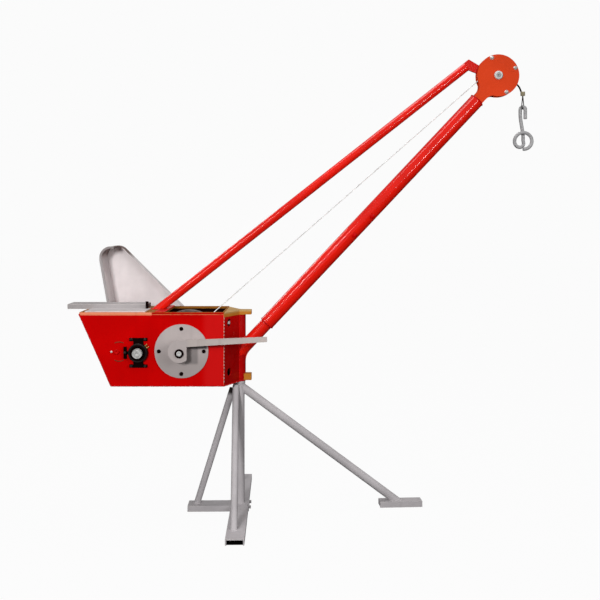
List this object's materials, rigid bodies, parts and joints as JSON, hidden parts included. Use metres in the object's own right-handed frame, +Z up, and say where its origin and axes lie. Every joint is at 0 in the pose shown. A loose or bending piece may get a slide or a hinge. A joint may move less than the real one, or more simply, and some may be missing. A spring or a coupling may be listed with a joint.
{
  "type": "davit crane",
  "caption": "Slewing pipe boom crane on a welded pipe stand, with a friction winch in a plate box, a control lever, a rope over the head sheave and a coiled hook.",
  "frame": {"origin": "on the slewing axis at the level of the ground, in the middle of the post's foot", "axes": "+X along the boom, +Y from the lever's side to the belt guard's side, +Z up along the post"},
  "size_m": [2.4083, 1.0218, 2.3468],
  "materials": {
    "grey_paint": "worn satin grey paint",
    "red_paint": "worn glossy red paint",
    "ochre_paint": "worn ochre paint",
    "guard_paint": "pale grey paint",
    "cover_grey": "satin grey paint",
    "black_paint": "black paint",
    "bare_steel": "bare steel",
    "rope_steel": "greased wire rope",
    "ferrule_metal": "pressed ferrule",
    "cast_metal": "machined casting"
  },
  "bodies": {
    "stand": {"cross_beam": "grey_paint", "side_beam": "grey_paint", "fork_stub": "grey_paint", "post": "grey_paint", "thrust_collar": "grey_paint", "left_strut": "grey_paint", "near_strut": "grey_paint", "far_strut": "grey_paint", "front_strut": "grey_paint", "front_foot": "grey_paint"},
    "crane": {"near_side_plate": "red_paint", "far_side_plate": "red_paint", "rear_plate": "red_paint", "bottom_plate": "red_paint", "near_front_wall": "red_paint", "far_front_wall": "red_paint", "top_plate": "ochre_paint", "nose_plate": "ochre_paint", "lower_nose": "ochre_paint", "pivot_sleeve": "red_paint", "drum_cover": "cover_grey", "cover_bolts": "black_paint", "far_drum_bearing": "cover_grey", "near_input_bearing": "black_paint", "far_input_bearing": "black_paint", "motor_rail": "grey_paint", "motor_plate": "grey_paint", "rail_bolt": "black_paint", "guard_panel": "guard_paint", "guard_rim": "guard_paint", "boom_stub": "red_paint", "boom_tube": "red_paint", "brace_pad": "red_paint", "brace_tube": "red_paint", "brace_lug": "red_paint", "near_head_plate": "red_paint", "far_head_plate": "red_paint", "head_spacers": "bare_steel", "sheave_axle": "bare_steel", "rope_run": "rope_steel", "ferrule": "ferrule_metal", "rope_eye": "rope_steel"},
    "winch_drum": {"drum": "cast_metal", "drum_wheel": "cast_metal", "rope_coil": "rope_steel"},
    "clutch_lever": {"lever_shaft": "bare_steel", "lever": "cover_grey"},
    "input_drive": {"input_shaft": "bare_steel", "drive_pulley": "cast_metal"},
    "head_sheave": {"sheave": "cast_metal"},
    "load_hook": {"hook": "bare_steel"}
  },
  "joints": [
    {"name": "slew", "type": "hinge", "parent": "stand", "child": "crane", "pos_m": [0, 0, 0], "axis": [0, 0, 1], "continuous": true},
    {"name": "drum_turn", "type": "hinge", "parent": "crane", "child": "winch_drum", "pos_m": [-0.279, 0, 0.84], "axis": [0, 1, 0], "continuous": true},
    {"name": "lever_swing", "type": "hinge", "parent": "crane", "child": "clutch_lever", "pos_m": [-0.279, 0, 0.84], "axis": [0, -1, 0], "range_deg": [-20, 15]},
    {"name": "input_turn", "type": "hinge", "parent": "crane", "child": "input_drive", "pos_m": [-0.493, 0, 0.833], "axis": [0, 1, 0], "continuous": true},
    {"name": "sheave_turn", "type": "hinge", "parent": "crane", "child": "head_sheave", "pos_m": [1.33214, 0, 2.23876], "axis": [0, 1, 0], "continuous": true},
    {"name": "hook_swing", "type": "hinge", "parent": "crane", "child": "load_hook", "pos_m": [1.46406, 0, 2.06717], "axis": [0.5, 0.866, 0], "range_deg": [-35, 35]}
  ]
}
